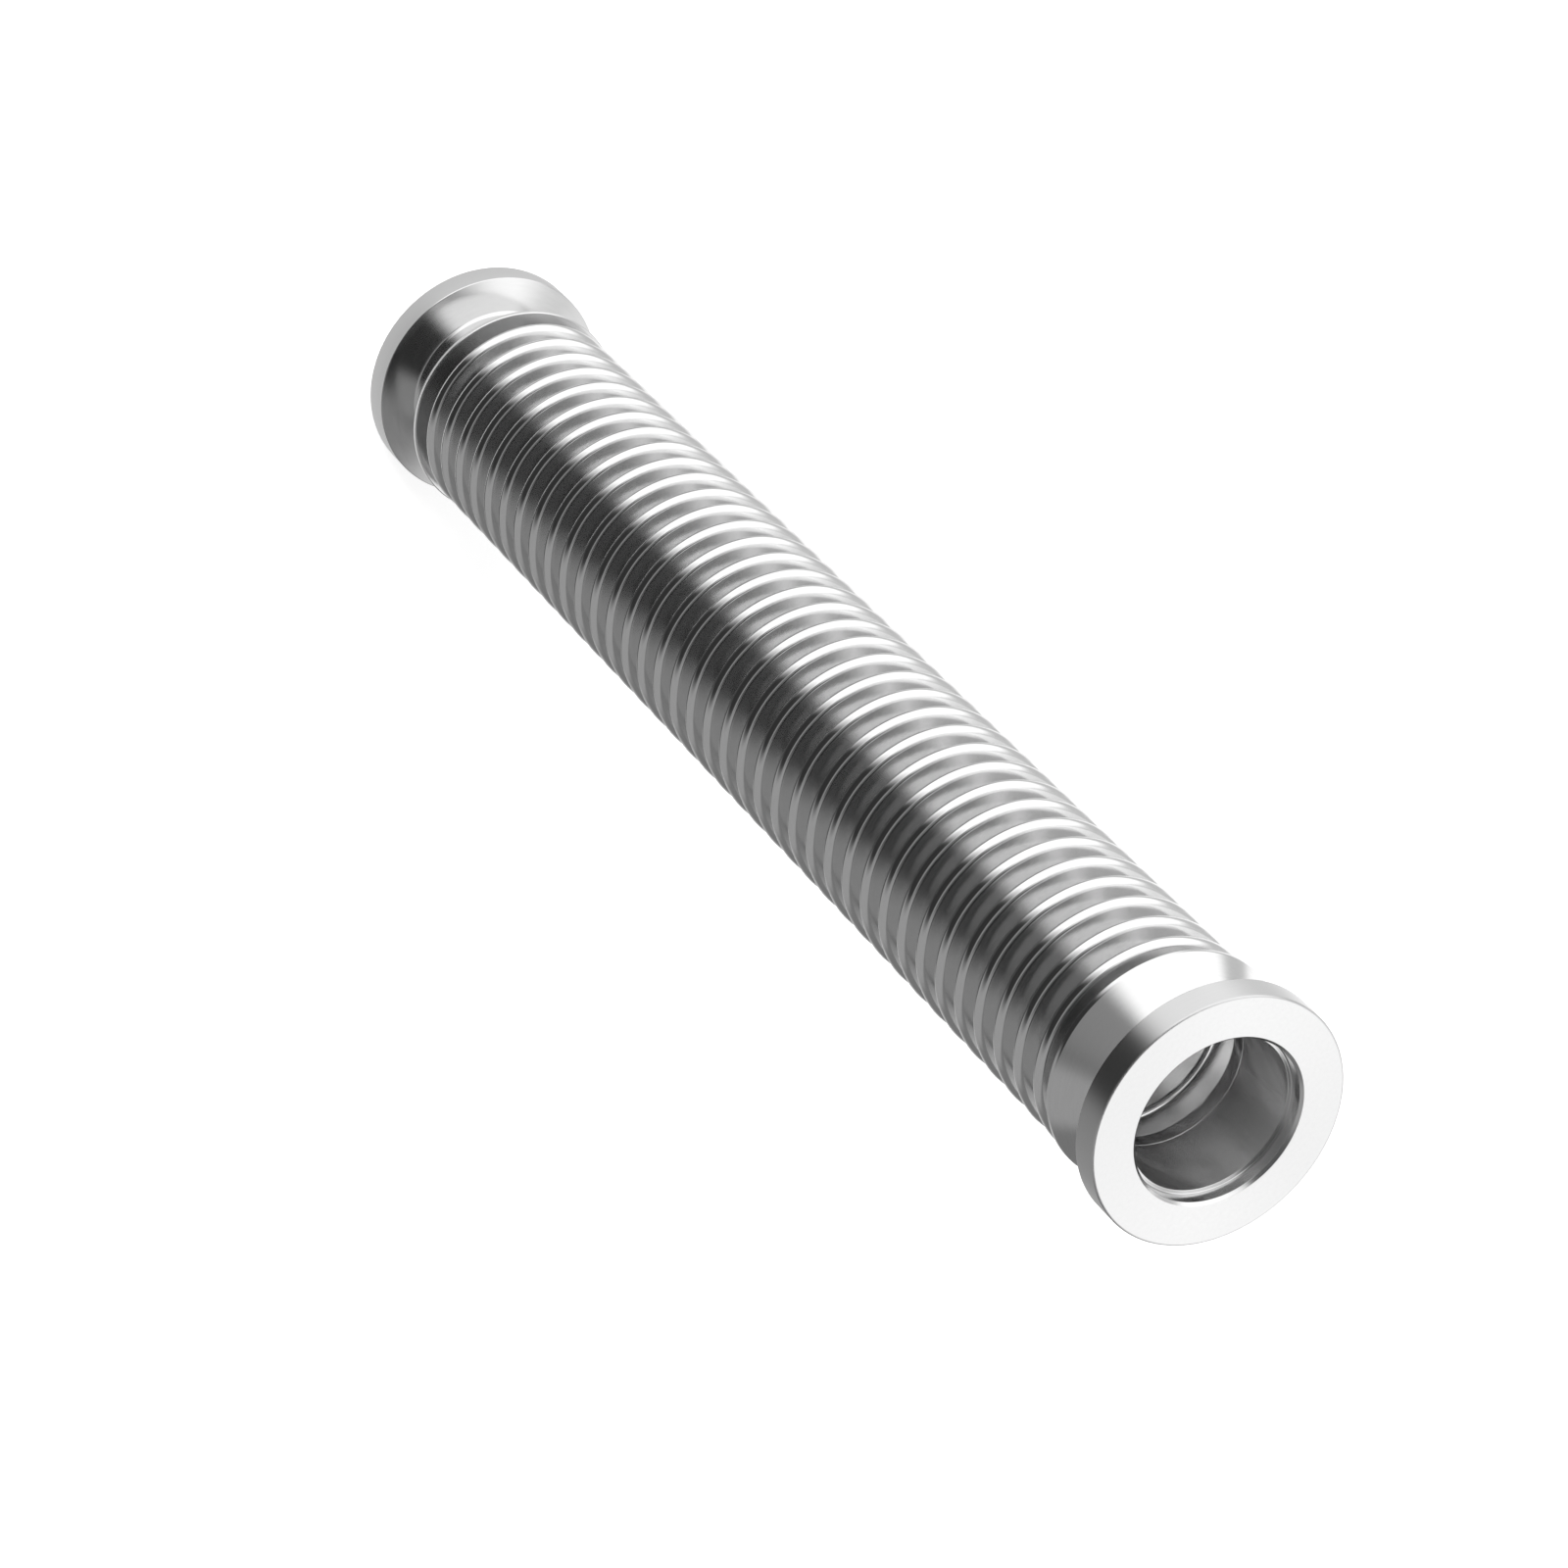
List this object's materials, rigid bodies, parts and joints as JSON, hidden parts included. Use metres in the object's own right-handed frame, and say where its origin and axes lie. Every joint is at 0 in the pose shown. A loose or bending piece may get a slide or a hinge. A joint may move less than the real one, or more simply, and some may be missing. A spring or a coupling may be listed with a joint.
{
  "type": "vacuum bellows hose",
  "caption": "Straight stainless vacuum bellows hose: a thin tube of ring folds welded between two quick-clamp flanges with centring recesses.",
  "frame": {"origin": "centre of the lower flange's sealing face, on the hose's axis", "axes": "+Z along the bore, from the lower flange to the upper one; the hose is round, so +X is any radius"},
  "size_m": [0.04, 0.04, 0.25],
  "materials": {
    "flange_steel": "turned and polished stainless steel",
    "bellows_steel": "bright formed stainless sheet",
    "weld_steel": "bright satin weld metal"
  },
  "bodies": {
    "root": {"lower_flange": "flange_steel", "upper_flange": "flange_steel", "bellows": "bellows_steel", "lower_weld": "weld_steel", "upper_weld": "weld_steel"}
  },
  "joints": []
}
